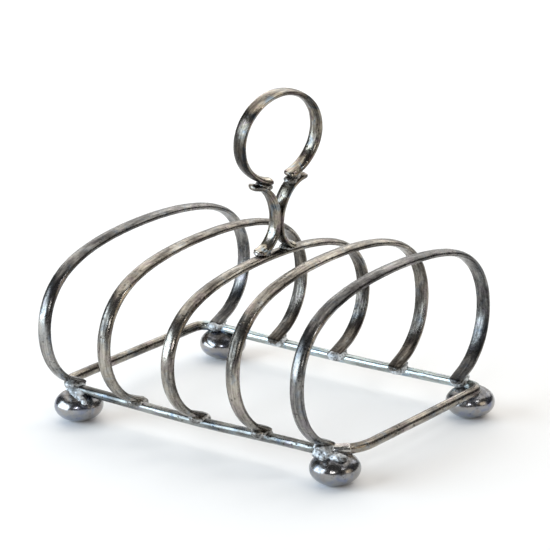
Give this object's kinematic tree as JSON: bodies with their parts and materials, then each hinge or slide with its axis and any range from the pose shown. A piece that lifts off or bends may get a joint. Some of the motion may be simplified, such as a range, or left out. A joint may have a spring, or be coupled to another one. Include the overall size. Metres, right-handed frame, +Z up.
{
  "type": "toast rack",
  "caption": "Wire toast rack with rounded arched hoops on a rectangular wire base, ball feet and a raised ring handle on scrolled supports.",
  "frame": {"origin": "on the table, under the middle of the rack", "axes": "+X along the rack, across the toast slots; +Y along each hoop, towards the back; +Z up"},
  "size_m": [0.1202, 0.1084, 0.1098],
  "materials": {
    "hoop_wire": "tarnished silver, worn bright on the dome",
    "base_wire": "tarnished silver, pitted",
    "handle_wire": "tarnished silver, rubbed by handling",
    "foot_metal": "dark tarnished silver, polished on the outside",
    "solder": "pale frosted solder, lumpy"
  },
  "bodies": {
    "root": {"base_frame": "base_wire", "hoop_1": "hoop_wire", "hoop_2": "hoop_wire", "hoop_3": "hoop_wire", "hoop_4": "hoop_wire", "hoop_5": "hoop_wire", "foot_front_left": "foot_metal", "foot_front_right": "foot_metal", "foot_back_right": "foot_metal", "foot_back_left": "foot_metal", "scroll_front": "handle_wire", "scroll_back": "handle_wire", "handle_ring": "handle_wire", "solder_hoop_1_front": "solder", "solder_hoop_1_back": "solder", "solder_hoop_2_front": "solder", "solder_hoop_2_back": "solder", "solder_hoop_3_front": "solder", "solder_hoop_3_back": "solder", "solder_hoop_4_front": "solder", "solder_hoop_4_back": "solder", "solder_hoop_5_front": "solder", "solder_hoop_5_back": "solder", "solder_foot_front_left": "solder", "solder_foot_front_right": "solder", "solder_foot_back_right": "solder", "solder_foot_back_left": "solder", "solder_waist": "solder", "solder_scroll_front": "solder", "solder_scroll_back": "solder", "solder_ring_front": "solder", "solder_ring_back": "solder", "solder_seam": "solder"}
  },
  "joints": []
}
